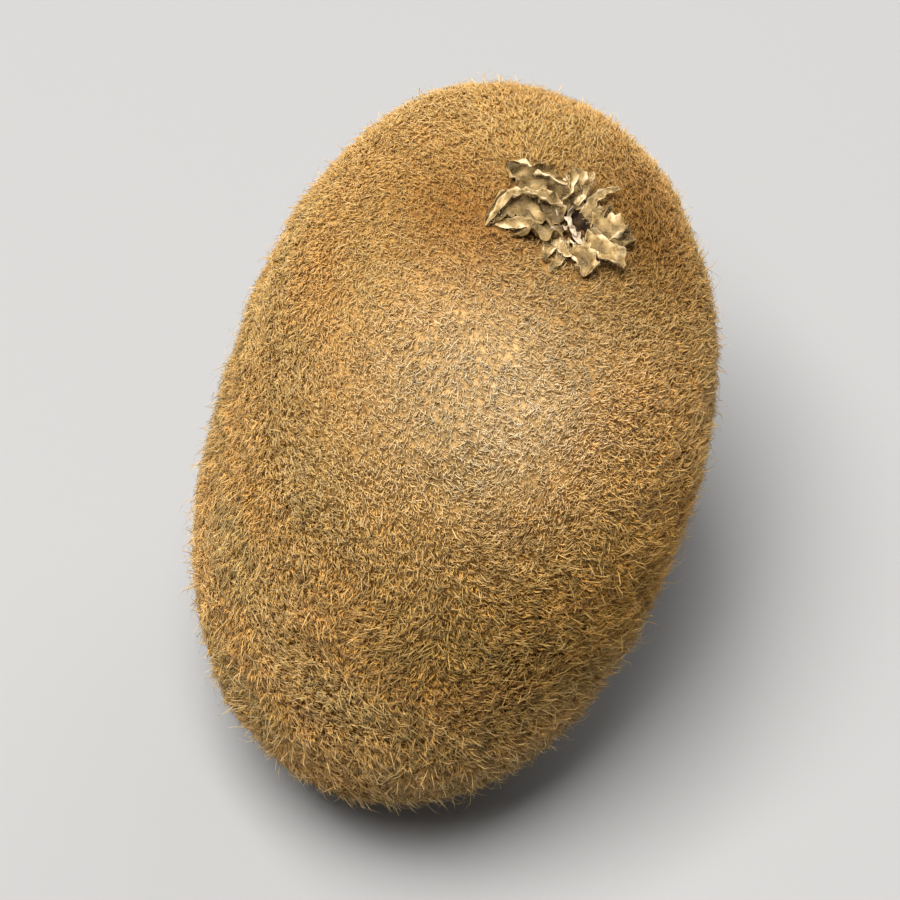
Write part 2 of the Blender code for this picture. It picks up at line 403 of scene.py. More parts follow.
SHEET_THICKNESS, TIP_THICKNESS = 0.16, 0.3  # millimetres, as all lengths of the strips, and a share of it
SHEET_ROWS, SHEET_RING = 60, 44
OVER_PEEL = 0.15  # added to the heights of all strips, to clear the bumps of the peel
SKIN_RADIUS = 23.0  # of the stem end, round its hollow
FOOT_WIDTH, FOOT_ROLL, WIDE_FROM = 0.35, 0.3, 0.4  # shares at a strip's foot, and where its width is full
LEAST_CURL, LEAST_ROLL = 1e-3, 1e-2  # radians, because the formulas divide by them
WANDER = 0.08  # radians by which a strip's middle line sways
NOTCHES, BUCKLES = (0.14, 0.8), (0.24, 1.7)  # how deep, and of what size, as the next two
CREASES, RIM_WAVES = (0.09, 0.9), (0.26, 1.0)
BLOTCHES = (0.16, 1.6)  # changes of tone, and their size
# The rims' paleness is partly a painted highlight; the darker foot and the darker tone off the crease lines
# are painted shade.
CREASE_LIGHT_AND_SHADE, RIM_PALE_AND_HIGHLIT, FOOT_SHADE = 0.10, 0.60, 0.2


def skin_height(x, y):
    """The skin's height beside the scar, in millimetres: it rises out of the hollow and then falls away."""
    far = x**2 + y**2
    hollowed = 1000 * STEM_HOLLOW[0] * (1 - np.exp(-far / (1000 * STEM_HOLLOW[1]) ** 2))
    return hollowed - far / (2 * SKIN_RADIUS)


def strip(
    start, bearing, bend, length, half_width, lift, curl, rolls, tilt, twist, blunt, waves, tone, seed
):
    """One strip of a dry sepal, as rings round its flat section from its foot to its tip, and its tone.

    The middle line leaves its start along its bearing at the slope lift. Towards the tip its bearing
    turns by bend, and its slope changes evenly by curl. The section is two arcs, to its right and its
    left, which turn up by the rolls. It is turned about the middle line by tilt, and by twist more
    towards the tip. Random waves and long creases crumple it, the most at its rims. The rims are also
    its palest part, partly their own colour and partly a painted highlight. The tone is darker towards
    the foot and off the raised crease lines, as painted shade.
    """
    fineness = min(1.0, 0.4 + half_width / 2)  # less on a narrow strip
    s, turn = ring_grid(1, int(fineness * SHEET_ROWS), int(fineness * SHEET_RING), -2 * np.pi)
    across, over = np.cos(turn), np.sin(turn)
    lift, curl, tilt, twist = np.radians([lift, curl, tilt, twist])
    curl = curl if abs(curl) > LEAST_CURL else LEAST_CURL
    slope = lift + curl * s
    out = length * (np.sin(slope) - np.sin(lift)) / curl
    up = length * (np.cos(lift) - np.cos(slope)) / curl
    bearing = np.radians(bearing + bend * s) + WANDER * np.sin(2.2 * np.pi * s + seed)
    ahead = np.stack([np.cos(bearing), np.sin(bearing), 0 * s], -1)
    left = np.stack([-np.sin(bearing), np.cos(bearing), 0 * s], -1)
    upward = np.array([0.0, 0.0, 1.0])
    face = np.cos(slope)[..., None] * upward - np.sin(slope)[..., None] * ahead
    angle = (tilt + twist * s)[..., None]
    cosine, sine = np.cos(angle), np.sin(angle)
    left, face = cosine * left + sine * face, cosine * face - sine * left

    flat = np.stack([length * s, half_width * across, 0 * s + seed], -1)
    widening = np.sin(np.pi / 2 * np.minimum(s / WIDE_FROM, 1))
    width = half_width * (FOOT_WIDTH + (1 - FOOT_WIDTH) * widening) * np.sqrt(np.maximum(1 - s**blunt, 0))
    width *= 1 + NOTCHES[0] * ripples(flat * [1, 0.15, 1], NOTCHES[1], seed)
    roll = np.radians(np.where(across < 0, rolls[0], rolls[1])) * np.minimum(FOOT_ROLL + s, 1)
    roll = np.where(np.abs(roll) < LEAST_ROLL, LEAST_ROLL, roll)
    sideways = width * np.sign(across) * np.sin(np.abs(roll * across)) / np.abs(roll)
    rise = width * (1 - np.cos(roll * across)) / roll
    rim = np.abs(across) ** 4
    creases = 1 - 2 * np.minimum(np.abs(ripples(flat * [0.4, 1, 1], CREASES[1], seed + 2)), 1)
    crumple = BUCKLES[0] * ripples(flat, BUCKLES[1], seed + 1) + CREASES[0] * creases
    crumple += RIM_WAVES[0] * rim * ripples(flat, RIM_WAVES[1], seed + 3)
    rise = rise + np.minimum(half_width, 1) * waves * crumple
    thinning = np.minimum(1, 6 * (1 - s) + TIP_THICKNESS)
    thickness = SHEET_THICKNESS / 2 * np.sign(over) * np.abs(over) ** 0.4 * thinning
    points = (
        np.array(start) + out[..., None] * ahead + up[..., None] * upward
        + sideways[..., None] * left + (rise + thickness)[..., None] * face
    )
    points[0], points[-1] = points[0].mean(axis=0), points[-1].mean(axis=0)
    x, y, over_skin = np.moveaxis(points, -1, 0)
    # Painted light and shade: darker towards the foot and off the crease lines, paler at the rims.
    tones = tone + BLOTCHES[0] * ripples(flat, BLOTCHES[1], seed + 4) - FOOT_SHADE * (1 - s) ** 2
    tones += CREASE_LIGHT_AND_SHADE * (creases - 1) + RIM_PALE_AND_HIGHLIT * rim
    return beside_scar(x, y, over_skin + skin_height(x, y) + OVER_PEEL), np.clip(tones, 0, 1)


def toned_mesh(name, forms):
    """One mesh of several closed forms, each given as its rings of points and their tones."""
    rings, tones = zip(*forms)
    mesh = closed_mesh(name, rings)
    set_attribute(mesh, "tone", np.concatenate([pole_to_pole(values) for values in tones]))
    return mesh


MOTTLE = 1.1  # how far the tone goes up and down with a noise


def graded(add, link, share, colours, middle_share):
    """Adds nodes that run evenly through three colours as a share goes from 0 to its middle and to 1."""
    colour, middle, high = colours[0], colours[1], colours[2]
    for start, end, further in ((0.0, middle_share, middle), (middle_share, 1.0, high)):
        part = add("ShaderNodeMapRange", **{"From Min": start, "From Max": end})
        link(share, part.inputs["Value"])
        mix = add("ShaderNodeMix", data_type="RGBA")
        link(part.outputs["Result"], mix.inputs["Factor"])
        link(colour, mix.inputs["A"])
        link(further, mix.inputs["B"])
        colour = mix.outputs["Result"]
    return colour


def dry_tissue_group():
    """From dark to pale with each point's tone, plus a mottle, and times fine brown specks."""
    group, inputs, result, add, link = colour_group("dry_tissue", "Dark", "Middle", "Pale")
    place = add("ShaderNodeTexCoord")
    tone = add("ShaderNodeAttribute", attribute_name="tone")
    mottle = add("ShaderNodeTexNoise", Scale=700.0, Detail=3.0)
    specks = add("ShaderNodeTexNoise", Scale=2600.0, Detail=2.0)
    for texture in (mottle, specks):
        link(place.outputs["Object"], texture.inputs["Vector"])
    around_zero = add("ShaderNodeMath", operation="MULTIPLY_ADD")
    link(mottle.outputs["Fac"], around_zero.inputs[0])
    around_zero.inputs[1].default_value = MOTTLE
    around_zero.inputs[2].default_value = -MOTTLE / 2
    mottled = add("ShaderNodeMath", operation="ADD", use_clamp=True)
    link(tone.outputs["Fac"], mottled.inputs[0])
    link(around_zero.outputs["Value"], mottled.inputs[1])
    spots = colour_ramp(add, (0.33, (0.60, 0.50, 0.38)), (0.48, (1.0, 1.0, 1.0)))
    link(specks.outputs["Fac"], spots.inputs["Fac"])
    toned = graded(add, link, mottled.outputs["Value"], inputs, 0.5)
    link(product(add, link, toned, spots.outputs["Color"]), result)
    return group


DRY_TISSUE = dry_tissue_group()


def tissue_material(name, dark, middle, pale):
    """Dry plant tissue with three colours of its own."""
    material, shader, add, link = material_nodes(name)
    tissue = add("ShaderNodeGroup", node_tree=DRY_TISSUE)
    for socket, colour in zip(tissue.inputs, (dark, middle, pale)):
        socket.default_value = (*colour, 1.0)
    link(tissue.outputs["Color"], shader.inputs["Base Color"])
    shader.inputs["Roughness"].default_value = 0.65
    shader.inputs["Specular IOR Level"].default_value = 0.3
    return material


# Per strip: start with its height over the peel, bearing, bend, length, half width, lift, curl, rolls to
# the right and left, tilt, twist, bluntness, waves, tone and seed. Lengths are in millimetres, angles
# in degrees. A broad strip is a leaf's shaded face, and a narrow one its pale rolled rim or a torn part.
SEPALS = {
    "sepal_left": [
        ((-0.6, 0.6, 0.3), 186, 22, 7.8, 2.0, 12, -14, (40, 50), 0, 0, 2.8, 0.9, 0.18, 101),
        ((-0.9, 1.4, 0.9), 179, 38, 8.3, 0.70, 16, -25, (80, 90), 25, 0, 9.0, 0.7, 0.62, 102),
        ((-2.6, -2.0, 1.2), 203, -14, 5.5, 0.60, 6, -26, (80, 70), -20, 0, 6.0, 0.6, 0.74, 117),
    ],
    "sepal_back_left": [
        ((-0.5, 2.1, 0.3), 160, 6, 6.6, 1.8, 14, -6, (120, 10), -16, 0, 3.5, 1.1, 0.22, 103),
        ((-0.8, 3.3, 1.5), 172, 2, 5.6, 0.40, 6, -16, (60, 80), 30, 0, 3.0, 1.2, 0.85, 118),
        ((-0.2, 2.4, 0.6), 120, 10, 2.6, 0.50, 30, -20, (60, 40), 0, 30, 3.0, 1.0, 0.40, 119),
    ],
    "sepal_back_right": [
        ((-0.3, 1.6, 0.0), 96, 0, 4.0, 1.3, 38, 0, (100, 70), 35, 25, 3.0, 1.0, 0.30, 104),
        ((0.8, 1.7, 0.0), 64, 0, 4.9, 0.5, 14, -5, (70, 40), 0, 60, 2.5, 1.0, 0.50, 105),
        ((0.2, 2.4, 0.4), 80, 0, 3.4, 0.5, 42, 30, (40, 90), -30, 40, 2.0, 1.0, 0.80, 106),
        ((1.3, 1.2, 0.0), 50, 0, 3.2, 0.6, 8, -10, (50, 60), 10, -40, 3.0, 1.0, 0.30, 116),
    ],
    "sepal_right": [
        ((2.1, 0.5, 0.0), 12, 0, 3.0, 1.6, 44, -56, (65, 60), -10, 0, 4.0, 1.6, 0.46, 107),
        ((1.7, -0.8, 0.1), -30, 0, 4.4, 1.2, 22, -26, (55, 70), 6, 0, 5.0, 1.4, 0.54, 108),
        ((2.2, 0.5, 0.0), 2, 0, 3.8, 1.5, 8, -14, (30, 45), 0, 0, 3.0, 1.0, 0.16, 109),
    ],
    "sepal_front": [
        ((0.9, -1.6, 0.1), -64, 0, 3.8, 1.4, 22, -34, (55, 70), 6, 0, 5.0, 1.4, 0.54, 110),
        ((0.0, -1.6, 0.0), -94, 0, 4.4, 0.5, 16, -20, (40, 50), 0, 30, 2.5, 1.0, 0.52, 111),
        ((-1.7, -1.9, 0.0), -40, 0, 3.6, 0.55, 34, -30, (20, 90), 30, 0, 3.0, 0.8, 0.74, 112),
    ],
    "sepal_front_left": [
        ((-0.9, -0.4, 0.1), 216, 0, 5.2, 2.2, 36, -70, (-35, 50), 10, 0, 4.0, 1.2, 0.16, 113),
        ((-0.6, -1.8, 0.0), 252, 0, 3.4, 0.65, 24, -30, (50, 40), -10, 20, 2.5, 1.0, 0.34, 114),
    ],
}
paper = tissue_material("dry_paper", (0.095, 0.061, 0.021), (0.32, 0.215, 0.080), (0.75, 0.595, 0.350))
strips = {name: [strip(*numbers) for numbers in rows] for name, rows in SEPALS.items()}
for name, shapes in strips.items():
    sepal = new_piece(f"{name}_leaf", toned_mesh(name, shapes), paper)
    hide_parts(name)

# The stalk's strands. The stalk tore off rather than being cut, and a few of its pale fibres stay in
# the scar's crater, upright or bent over its rim. They are narrow strips of the same kind as the sepals'.

STRANDS = [
    ((-0.5, 0.9, 0.0), -62, 0, 2.2, 0.30, 50, -45, (40, 40), 0, 40, 2.0, 1.0, 0.70, 131),
    ((0.1, 0.2, 0.0), -70, 0, 2.2, 0.30, 62, -70, (60, 40), 20, 30, 3.0, 1.0, 0.90, 132),
    ((0.5, -0.5, 0.0), -60, 0, 2.1, 0.34, 50, -60, (40, 60), -10, 30, 3.0, 1.0, 0.90, 133),
    ((-0.3, -0.3, 0.0), -95, 0, 1.7, 0.28, 60, -30, (40, 40), 10, 0, 2.0, 1.0, 0.75, 134),
    ((-0.9, 0.3, 0.0), 160, 0, 1.3, 0.30, 65, -20, (40, 40), 0, 50, 2.0, 1.0, 0.55, 135),
    ((-0.2, 1.1, 0.0), 90, 0, 1.2, 0.26, 70, -10, (40, 40), 0, 20, 2.0, 1.0, 0.55, 136),
    ((-0.8, -0.8, 0.0), -130, 0, 1.4, 0.30, 55, -30, (40, 30), 20, 0, 2.0, 1.0, 0.60, 137),
]
bark = tissue_material("torn_strand", (0.12, 0.080, 0.040), (0.30, 0.22, 0.135), (0.52, 0.43, 0.32))
torn = [strip(*numbers) for numbers in STRANDS]
new_piece("stalk_strands", toned_mesh("stalk_strands", torn), bark)

# The style tuft. At the blossom end the flower's styles stay as a small dark star. They are dry and
# woody, some thirty of them round a low button, and lie flat in the hollow there.

BLOSSOM_PLACE = stand(np.array([BLOSSOM_X, BLOSSOM_Y, BLOSSOM_HOLLOW[0] - BLOSSOM_SIDE]))
STYLES, STAR_POINTS = 32, 8
STYLE_ROWS, STYLE_RING = 16, 6
STYLE_RADIUS, STYLE_START, STYLE_DEPTH = 0.11, 0.3, 0.30  # in millimetres, as all lengths of the tuft
STYLE_REACH, POINTS_LONGER, STYLE_ARCH, STYLE_THINNER = 1.35, 0.85, (0.25, 0.50), 0.55
REACH_CHANCE, ASIDE_CHANCE, BEND_CHANCE = (-0.15, 0.1), 0.06, 0.25  # the last two in radians
STYLE_TONE, STYLE_TIP_PALER, STYLE_TONE_CHANCE = 0.25, 0.5, 0.15
BUTTON_RADIUS, BUTTON_DEPTH, BUTTON_HALF_HEIGHT, BUTTON_BUMPS = 1.25, 0.15, 0.42, (0.07, 0.5)
BUTTON_WAVES, BUTTON_TONE, BUMPS_PALER = (0.08, 0.05), 0.12, 0.1
BUTTON_ROWS, BUTTON_AROUND = 24, 48


def below_blossom(x, y, depth):
    """World places from millimetres beside the blossom end's middle, and below the hollow's surface."""
    reach = 1000 * BLOSSOM_HOLLOW[1]
    hollowed = 1000 * BLOSSOM_HOLLOW[0] * (1 - np.exp(-(x**2 + y**2) / reach**2))
    beside = np.stack(np.broadcast_arrays(x, y, -hollowed - depth), -1)
    return BLOSSOM_PLACE + beside @ FRUIT_TURN.T / 1000


def style(bearing, seed):
    """One dry style: a round stalk that thins to its tip, in an arch out of the button to the peel.

    Those at the star's points are longer. Its way bends a little, with the square of the way along.
    """
    chance = np.random.default_rng(seed)
    s, turn = ring_grid(1, STYLE_ROWS, STYLE_RING, -2 * np.pi)
    at_point = np.abs(np.cos(STAR_POINTS / 2 * bearing)) ** 3
    reach = STYLE_REACH + POINTS_LONGER * at_point + chance.uniform(*REACH_CHANCE)
    bearing = bearing + chance.normal(0, ASIDE_CHANCE) + chance.normal(0, BEND_CHANCE) * s**2
    out = STYLE_START + (reach - STYLE_START) * s
    depth = STYLE_DEPTH + chance.uniform(*STYLE_ARCH) * np.sin(np.pi * s**0.8)
    rounded_ends = np.sqrt(np.clip(12 * (1 - s) * (s + 0.05), 0, 1))
    radius = STYLE_RADIUS * (1 - STYLE_THINNER * s) * rounded_ends
    out_sideways = out * np.sin(bearing) + radius * np.cos(turn) * np.cos(bearing)
    out_ahead = out * np.cos(bearing) - radius * np.cos(turn) * np.sin(bearing)
    rings = below_blossom(out_ahead, out_sideways, depth - radius * np.sin(turn))
    rings[0], rings[-1] = rings[0].mean(axis=0), rings[-1].mean(axis=0)
    tone = STYLE_TONE + STYLE_TIP_PALER * s**3 + chance.normal(0, STYLE_TONE_CHANCE)
    return rings, np.clip(tone, 0, 1)


def button():
    """The low button in the middle: a flattened ball with fine bumps, sunk a third into the peel."""
    s, turn = ring_grid(1, BUTTON_ROWS, BUTTON_AROUND)
    wobble = 1 + BUTTON_WAVES[0] * np.sin(5 * turn) + BUTTON_WAVES[1] * np.sin(11 * turn)
    out = BUTTON_RADIUS * np.sin(np.pi * s) * wobble
    x, y = out * np.cos(turn), out * np.sin(turn)
    bumps = ripples(np.stack([x, y, np.cos(np.pi * s)], -1), BUTTON_BUMPS[1], 41)
    depth = BUTTON_DEPTH + (BUTTON_HALF_HEIGHT + BUTTON_BUMPS[0] * bumps) * np.cos(np.pi * (1 - s))
    return below_blossom(x, y, depth), np.clip(BUTTON_TONE + BUMPS_PALER * bumps, 0, 1)


dead_wood = tissue_material("dead_style", (0.022, 0.012, 0.006), (0.085, 0.050, 0.024), (0.24, 0.16, 0.09))
tuft_parts = [button()] + [style(2 * np.pi * k / STYLES, 300 + k) for k in range(STYLES)]
tuft = new_piece("style_star", toned_mesh("style_star", tuft_parts), dead_wood)
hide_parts("style_tuft")

# The fuzz. Stiff golden-brown hairs, about a millimetre long, cover the whole fruit. They rise from
# the peel in small tufts and bend over, so pale tips cross over dark gaps. Longer, paler hairs lie
# on top. All are short round the scar, and none grow on it or under the style tuft.

SHORT_TUFTS, HAIRS_IN_TUFT, LONG_HAIRS = 82000, 3, 23000
SHORT_PIECES, LONG_PIECES = 9, 2
SHORT_LENGTH, LONG_LENGTH = 0.00112, 0.0018
SHORT_RADIUS, LONG_RADIUS, TIP_THINNER = 0.000050, 0.000039, 0.75
SHORT_LEANS, LONG_LEANS = (0.55, 1.35), (0.55, 1.05, 1.55)  # radians from the normal, part by part
FUZZ_HEIGHTS = (0.030, 0.050, 0.062)
FUZZ_LENGTHS = (1.35, 1.05, 0.90)  # at these heights, longer low down than high up
FUZZ_TUFTING = (1.6, 1.1, 0.45)  # how shaggy at these heights: tufts tighter and less alike low down
LOOSEST, TIGHTENING = 1.5, 0.55  # how loose a tuft is, and how much less so with its tufting
TUFT_SPREAD, TIPS_TOGETHER = 0.00022, 0.45  # how far apart its hairs root, and how far their tips close up
HEADING = 1.5  # the way the tufts lean, in radians from down the fruit
HEADING_SWAY, HEADING_CHANCE = (0.9, 0.018), 0.9  # its broad changes and their size, and its random part
TURN_CHANCE, TUFT_CURL, CURL_CHANCE = 0.45, 0.8, 0.2  # random turns of hairs, and swings along them
TUFT_LEAN_CHANCE, HAIR_LEAN_CHANCE, PART_LEAN_CHANCE, LEAN_LIMITS = 0.18, 0.18, 0.10, (0.05, 1.7)
TUFT_SIZES, HAIR_SIZES, HAIR_THICKNESSES = (0.75, 1.25), (0.6, 1.35), (0.75, 1.25)
CLUMP_TONE, CLUMP_SIZE = 1.1, 0.0026  # tufts near each other are alike in tone
TUFT_TONE, HAIR_TONE, MEAN_TONE, DARKEST = 0.065, 0.045, 0.81, 0.4
FLECKS, FLECK_DARKER = 0.025, 0.35  # the share of tufts that are dark, and how much
WORN_SHORTER, WORN_HIGHLIGHT_HAIR_DARKER, WORN_HIGHLIGHT_LESS_RUSSET = 0.10, 0.08, 0.3  # rubbed hairs, shorter, and darker and less russet before their paler tint, a painted highlight
OLIVE, RUSSET, RUSSET_SHARE, RUSSET_PATCHES = (0.93, 0.92, 0.80), (1.0, 0.88, 0.69), 0.45, (0.25, 0.013)
BARE_SCAR, FULL_FROM_SCAR, SHORT_BY_SCAR = 0.0024, 0.0060, 0.65  # the hairs grow longer between the two
BARE_EDGE, BARE_BLOSSOM = (0.85, 1.3), 0.0022
LEAVES_REACH, CLEAR_OF_LEAF = 0.0115, 0.00028  # from the scar's middle, and between a hair and a leaf
ROOT_DEPTH, RESTING_HEIGHT = 0.00015, 0.00003
POLE_MARGIN, POLE_REACH = 1e-3, 0.002  # radians, and metres a radian, near the skin's two ends


def scatter_on_skin(count, chance):
    """Angles of points spread evenly over the skin: even steps through the summed area of small cells."""
    columns, rows = 360, 360
    cell_around = (np.arange(columns) + 0.5) * 2 * np.pi / columns
    cell_down = (np.arange(rows) + 0.5) * np.pi / rows
    a, d = np.meshgrid(cell_around, cell_down)
    across, along, _ = skin_slopes(a, d)
    share = np.cumsum(np.linalg.norm(np.cross(across, along), axis=-1).ravel())
    drawn = np.searchsorted(share / share[-1], (np.arange(count) + chance.uniform(0, 1, count)) / count)
    drawn = np.minimum(drawn, share.size - 1)
    picked_around = a.ravel()[drawn] + chance.uniform(-np.pi, np.pi, count) / columns
    picked_down = d.ravel()[drawn] + chance.uniform(-np.pi / 2, np.pi / 2, count) / rows
    return picked_around, np.clip(picked_down, POLE_MARGIN, np.pi - POLE_MARGIN)


def grow_hairs(tufts, hairs_in_tuft, length, radius, leans, seed):
    """The hairs' middle lines (hair, point, place), radii and tints.

    A tuft's hairs root close together, share its heading, size, curl and tone, and close up at their
    tips. None grow on the scar, through a dry leaf, under the style tuft or where the fruit rests.
    """
    chance = np.random.default_rng(seed)
    around, down = scatter_on_skin(tufts, chance)
    across, along, _ = skin_slopes(around, down)
    place = skin(around, down)
    sway = HEADING_SWAY[0] * ripples(place, HEADING_SWAY[1], 3)
    heading = HEADING + sway + chance.normal(0, HEADING_CHANCE, tufts)
    size = chance.uniform(*TUFT_SIZES, tufts)
    tone = chance.normal(0, 1, tufts) + CLUMP_TONE * ripples(place, CLUMP_SIZE, 5)
    flecks = FLECK_DARKER * (chance.uniform(0, 1, tufts) < FLECKS)

    def spread(values):
        return np.repeat(values, hairs_in_tuft, axis=0)

    count = tufts * hairs_in_tuft
    tufting = spread(np.interp(place[:, 2], FUZZ_HEIGHTS, FUZZ_TUFTING))
    loose = LOOSEST - TIGHTENING * tufting
    reach_across = spread(np.maximum(np.linalg.norm(across, axis=1), POLE_REACH))
    reach_along = spread(np.maximum(np.linalg.norm(along, axis=1), POLE_REACH))
    hair_around = spread(around) + TUFT_SPREAD * loose * chance.normal(0, 1, count) / reach_across
    hair_down = spread(down) + TUFT_SPREAD * loose * chance.normal(0, 1, count) / reach_along
    hair_down = np.clip(hair_down, POLE_MARGIN, np.pi - POLE_MARGIN)
    across, _, normal = skin_slopes(hair_around, hair_down)
    root = skin(hair_around, hair_down)
    root += relief(root)[:, None] * normal
    from_scar = np.linalg.norm(root - SCAR_PLACE, axis=1)
    from_blossom = np.linalg.norm(root - BLOSSOM_PLACE, axis=1)
    # How near the rubbed place, which carries a painted highlight.
    worn_and_lit = nearness(root, WORN_HIGHLIGHT_PLACE, WORN_HIGHLIGHT_REACH)

    lengths = length * spread(size) * chance.uniform(*HAIR_SIZES, count) * (1 - WORN_SHORTER * worn_and_lit)
    lengths *= np.interp(from_scar, (BARE_SCAR, FULL_FROM_SCAR), (SHORT_BY_SCAR, 1))
    lengths *= np.interp(root[:, 2], FUZZ_HEIGHTS, FUZZ_LENGTHS)
    turn = spread(heading) + TURN_CHANCE * loose * chance.normal(0, 1, count)
    curl = spread(chance.normal(0, TUFT_CURL, tufts))
    lean_more = spread(chance.normal(0, TUFT_LEAN_CHANCE, tufts))
    lean_more = lean_more + HAIR_LEAN_CHANCE * loose * chance.normal(0, 1, count)
    lines = bent_lines(root, normal, across, lengths, leans, lean_more, turn, curl, chance)
    tips = lines[:, -1].reshape(tufts, hairs_in_tuft, 3)
    drawn = (tips.mean(axis=1, keepdims=True) - tips).reshape(count, 3)
    lines[:, -1] += TIPS_TOGETHER * tufting[:, None] * drawn
    lines[:, 1:, 2] = np.maximum(lines[:, 1:, 2], RESTING_HEIGHT)

    tints = hair_tints(root, worn_and_lit, tufting, spread(tone), spread(flecks), chance)
    kept = (from_scar > BARE_SCAR * chance.uniform(*BARE_EDGE, count)) & (root[:, 2] > RESTING_HEIGHT)
    kept &= clear_of_leaves(lines) & (from_blossom > BARE_BLOSSOM)
    radii = radius * chance.uniform(*HAIR_THICKNESSES, count)
    return lines[kept], radii[kept], tints[kept]


def bent_lines(root, normal, across, lengths, leans, lean_more, turn, curl, chance):
    """Each hair's middle line, from a little below the peel.

    Every next part leans more from the normal, towards the hair's turn, which swings round by its curl
    from part to part.
    """
    east = across / np.linalg.norm(across, axis=1)[:, None]
    south = np.cross(east, normal)
    step = lengths[:, None] / len(leans)
    points = [root - ROOT_DEPTH * normal]
    for part, lean in enumerate(leans):
        lean = lean + lean_more + chance.normal(0, PART_LEAN_CHANCE, len(root))
        lean = np.clip(lean, *LEAN_LIMITS)[:, None]
        swing = (turn + (part - 0.5) * (curl + chance.normal(0, CURL_CHANCE, len(root))))[:, None]
        sideways = np.cos(swing) * south + np.sin(swing) * east
        points.append(points[-1] + step * (np.cos(lean) * normal + np.sin(lean) * sideways))
    return np.stack(points, axis=1)


def hair_tints(root, worn_and_lit, tufting, tone, flecks, chance):
    """Each hair's tint: olive to russet in broad patches, times its place's tint and painted light, and its
    own brightness.
    """
    patches = RUSSET_PATCHES[0] * ripples(root, RUSSET_PATCHES[1], 4)
    russet = RUSSET_SHARE + patches - WORN_HIGHLIGHT_LESS_RUSSET * worn_and_lit
    varied = tufting * (TUFT_TONE * tone + HAIR_TONE * chance.normal(0, 1, len(root)))
    brightness = np.clip(MEAN_TONE + varied - flecks - WORN_HIGHLIGHT_HAIR_DARKER * worn_and_lit, DARKEST, 1)
    return blend(russet, OLIVE, RUSSET) * place_tints_and_painted_light(root) * brightness[:, None]


def clear_of_leaves(lines):
    """Which hairs keep clear of the dry leaves: those with no point close to a strip.

    A strip is tested at every third point of every second ring.
    """
    clear = np.ones(len(lines), bool)
    near = np.flatnonzero(np.linalg.norm(lines[:, 0] - SCAR_PLACE, axis=1) < LEAVES_REACH)
    places = (lines[near] - SCAR_PLACE).reshape(-1, 3)
    squares = (places**2).sum(axis=1)
    for rings, _ in itertools.chain(*strips.values()):
        leaf = rings[::2, ::3].reshape(-1, 3) - SCAR_PLACE
        gaps = squares[:, None] + (leaf**2).sum(axis=1) - 2 * places @ leaf.T
        clear[near] &= (gaps.min(axis=1) > CLEAR_OF_LEAF**2).reshape(len(near), -1).all(axis=1)
    return clear


def spike(bends):
    """A spike's faces and their corners in a unit square: a ring of three at each bend, and two ends.

    Its three like sides share one place in the square, root below tip.
    """
    left, middle, right, lowest, highest = 0.1, 0.5, 0.9, 0.06, 0.94
    heights = np.linspace(lowest, highest, bends + 2)
    faces, unfolded = [], []
    for i in range(3):
        j = (i + 1) % 3
        faces.append([0, 1 + j, 1 + i])
        unfolded += [(middle, heights[0]), (right, heights[1]), (left, heights[1])]
        for k in range(bends - 1):
            faces.append([1 + 3 * k + i, 1 + 3 * k + j, 4 + 3 * k + j, 4 + 3 * k + i])
            unfolded += [(left, heights[k + 1]), (right, heights[k + 1])]
            unfolded += [(right, heights[k + 2]), (left, heights[k + 2])]
        faces.append([3 * bends - 2 + i, 3 * bends - 2 + j, 3 * bends + 1])
        unfolded += [(left, heights[-2]), (right, heights[-2]), (middle, heights[-1])]
    return faces, unfolded


def hair_mesh(name, lines, radii, tints):
    """Closed three-sided spikes along the hairs' middle lines, each in its own cell of the bake's map.

    At each bend three points stand round the line at the hair's radius, which thins to the tip.
    """
    count, stations = lines.shape[:2]
    bends = stations - 2
    axis = lines[:, 1] - lines[:, 0]
    off_axis = np.array([1e-7, 2e-7, 3e-7])  # gives a straight hair sides too
    side = np.cross(axis, lines[:, 2] - lines[:, 1] + off_axis)
    side /= np.linalg.norm(side, axis=1)[:, None]
    other = np.cross(axis, side)
    other /= np.linalg.norm(other, axis=1)[:, None]
    turns = 2 * np.pi * np.arange(3) / 3
    ring = np.cos(turns)[None, :, None] * side[:, None] + np.sin(turns)[None, :, None] * other[:, None]
    thinning = np.linspace(1.0, TIP_THINNER, bends)
    rings = lines[:, 1:-1, None] + ring[:, None] * (radii[:, None] * thinning)[:, :, None, None]
    points = np.concatenate([lines[:, :1], rings.reshape(count, -1, 3), lines[:, -1:]], axis=1)

    faces, unfolded = spike(bends)
    corners = np.concatenate(faces)
    sizes = np.array([len(face) for face in faces])
    starts = np.cumsum(sizes) - sizes
    hairs = np.arange(count)[:, None]

    mesh = bpy.data.meshes.new(name)
    mesh.vertices.add(points.shape[1] * count)
    mesh.vertices.foreach_set("co", points.ravel().astype(np.float32))
    mesh.loops.add(len(corners) * count)
    mesh.loops.foreach_set("vertex_index", (corners + points.shape[1] * hairs).ravel().astype(np.int32))
    mesh.polygons.add(len(faces) * count)
    mesh.polygons.foreach_set("loop_start", (starts + len(corners) * hairs).ravel().astype(np.int32))
    mesh.update(calc_edges=True)

    cells = int(np.ceil(np.sqrt(count)))
    cell = np.concatenate([hairs % cells, hairs // cells], axis=1)
    bake_map = (cell[:, None] + np.array(unfolded)) / cells
    mesh.uv_layers.new(name="OFBake").data.foreach_set("uv", bake_map.ravel().astype(np.float32))
    up_hair = np.concatenate([[0], np.repeat(np.arange(1, bends + 1), 3), [bends + 1]]) / (bends + 1)
    set_attribute(mesh, "up_hair", np.tile(up_hair, count))
    set_attribute(mesh, "tint", np.repeat(tints, len(up_hair), axis=0))
    return mesh


def root_to_tip_group():
    """Three colours up each hair, the middle one a little below half way."""
    group, inputs, result, add, link = colour_group("root_to_tip", "Root", "Middle", "Tip")
    up_hair = add("ShaderNodeAttribute", attribute_name="up_hair")
    link(graded(add, link, up_hair.outputs["Fac"], inputs, 0.45), result)
    return group


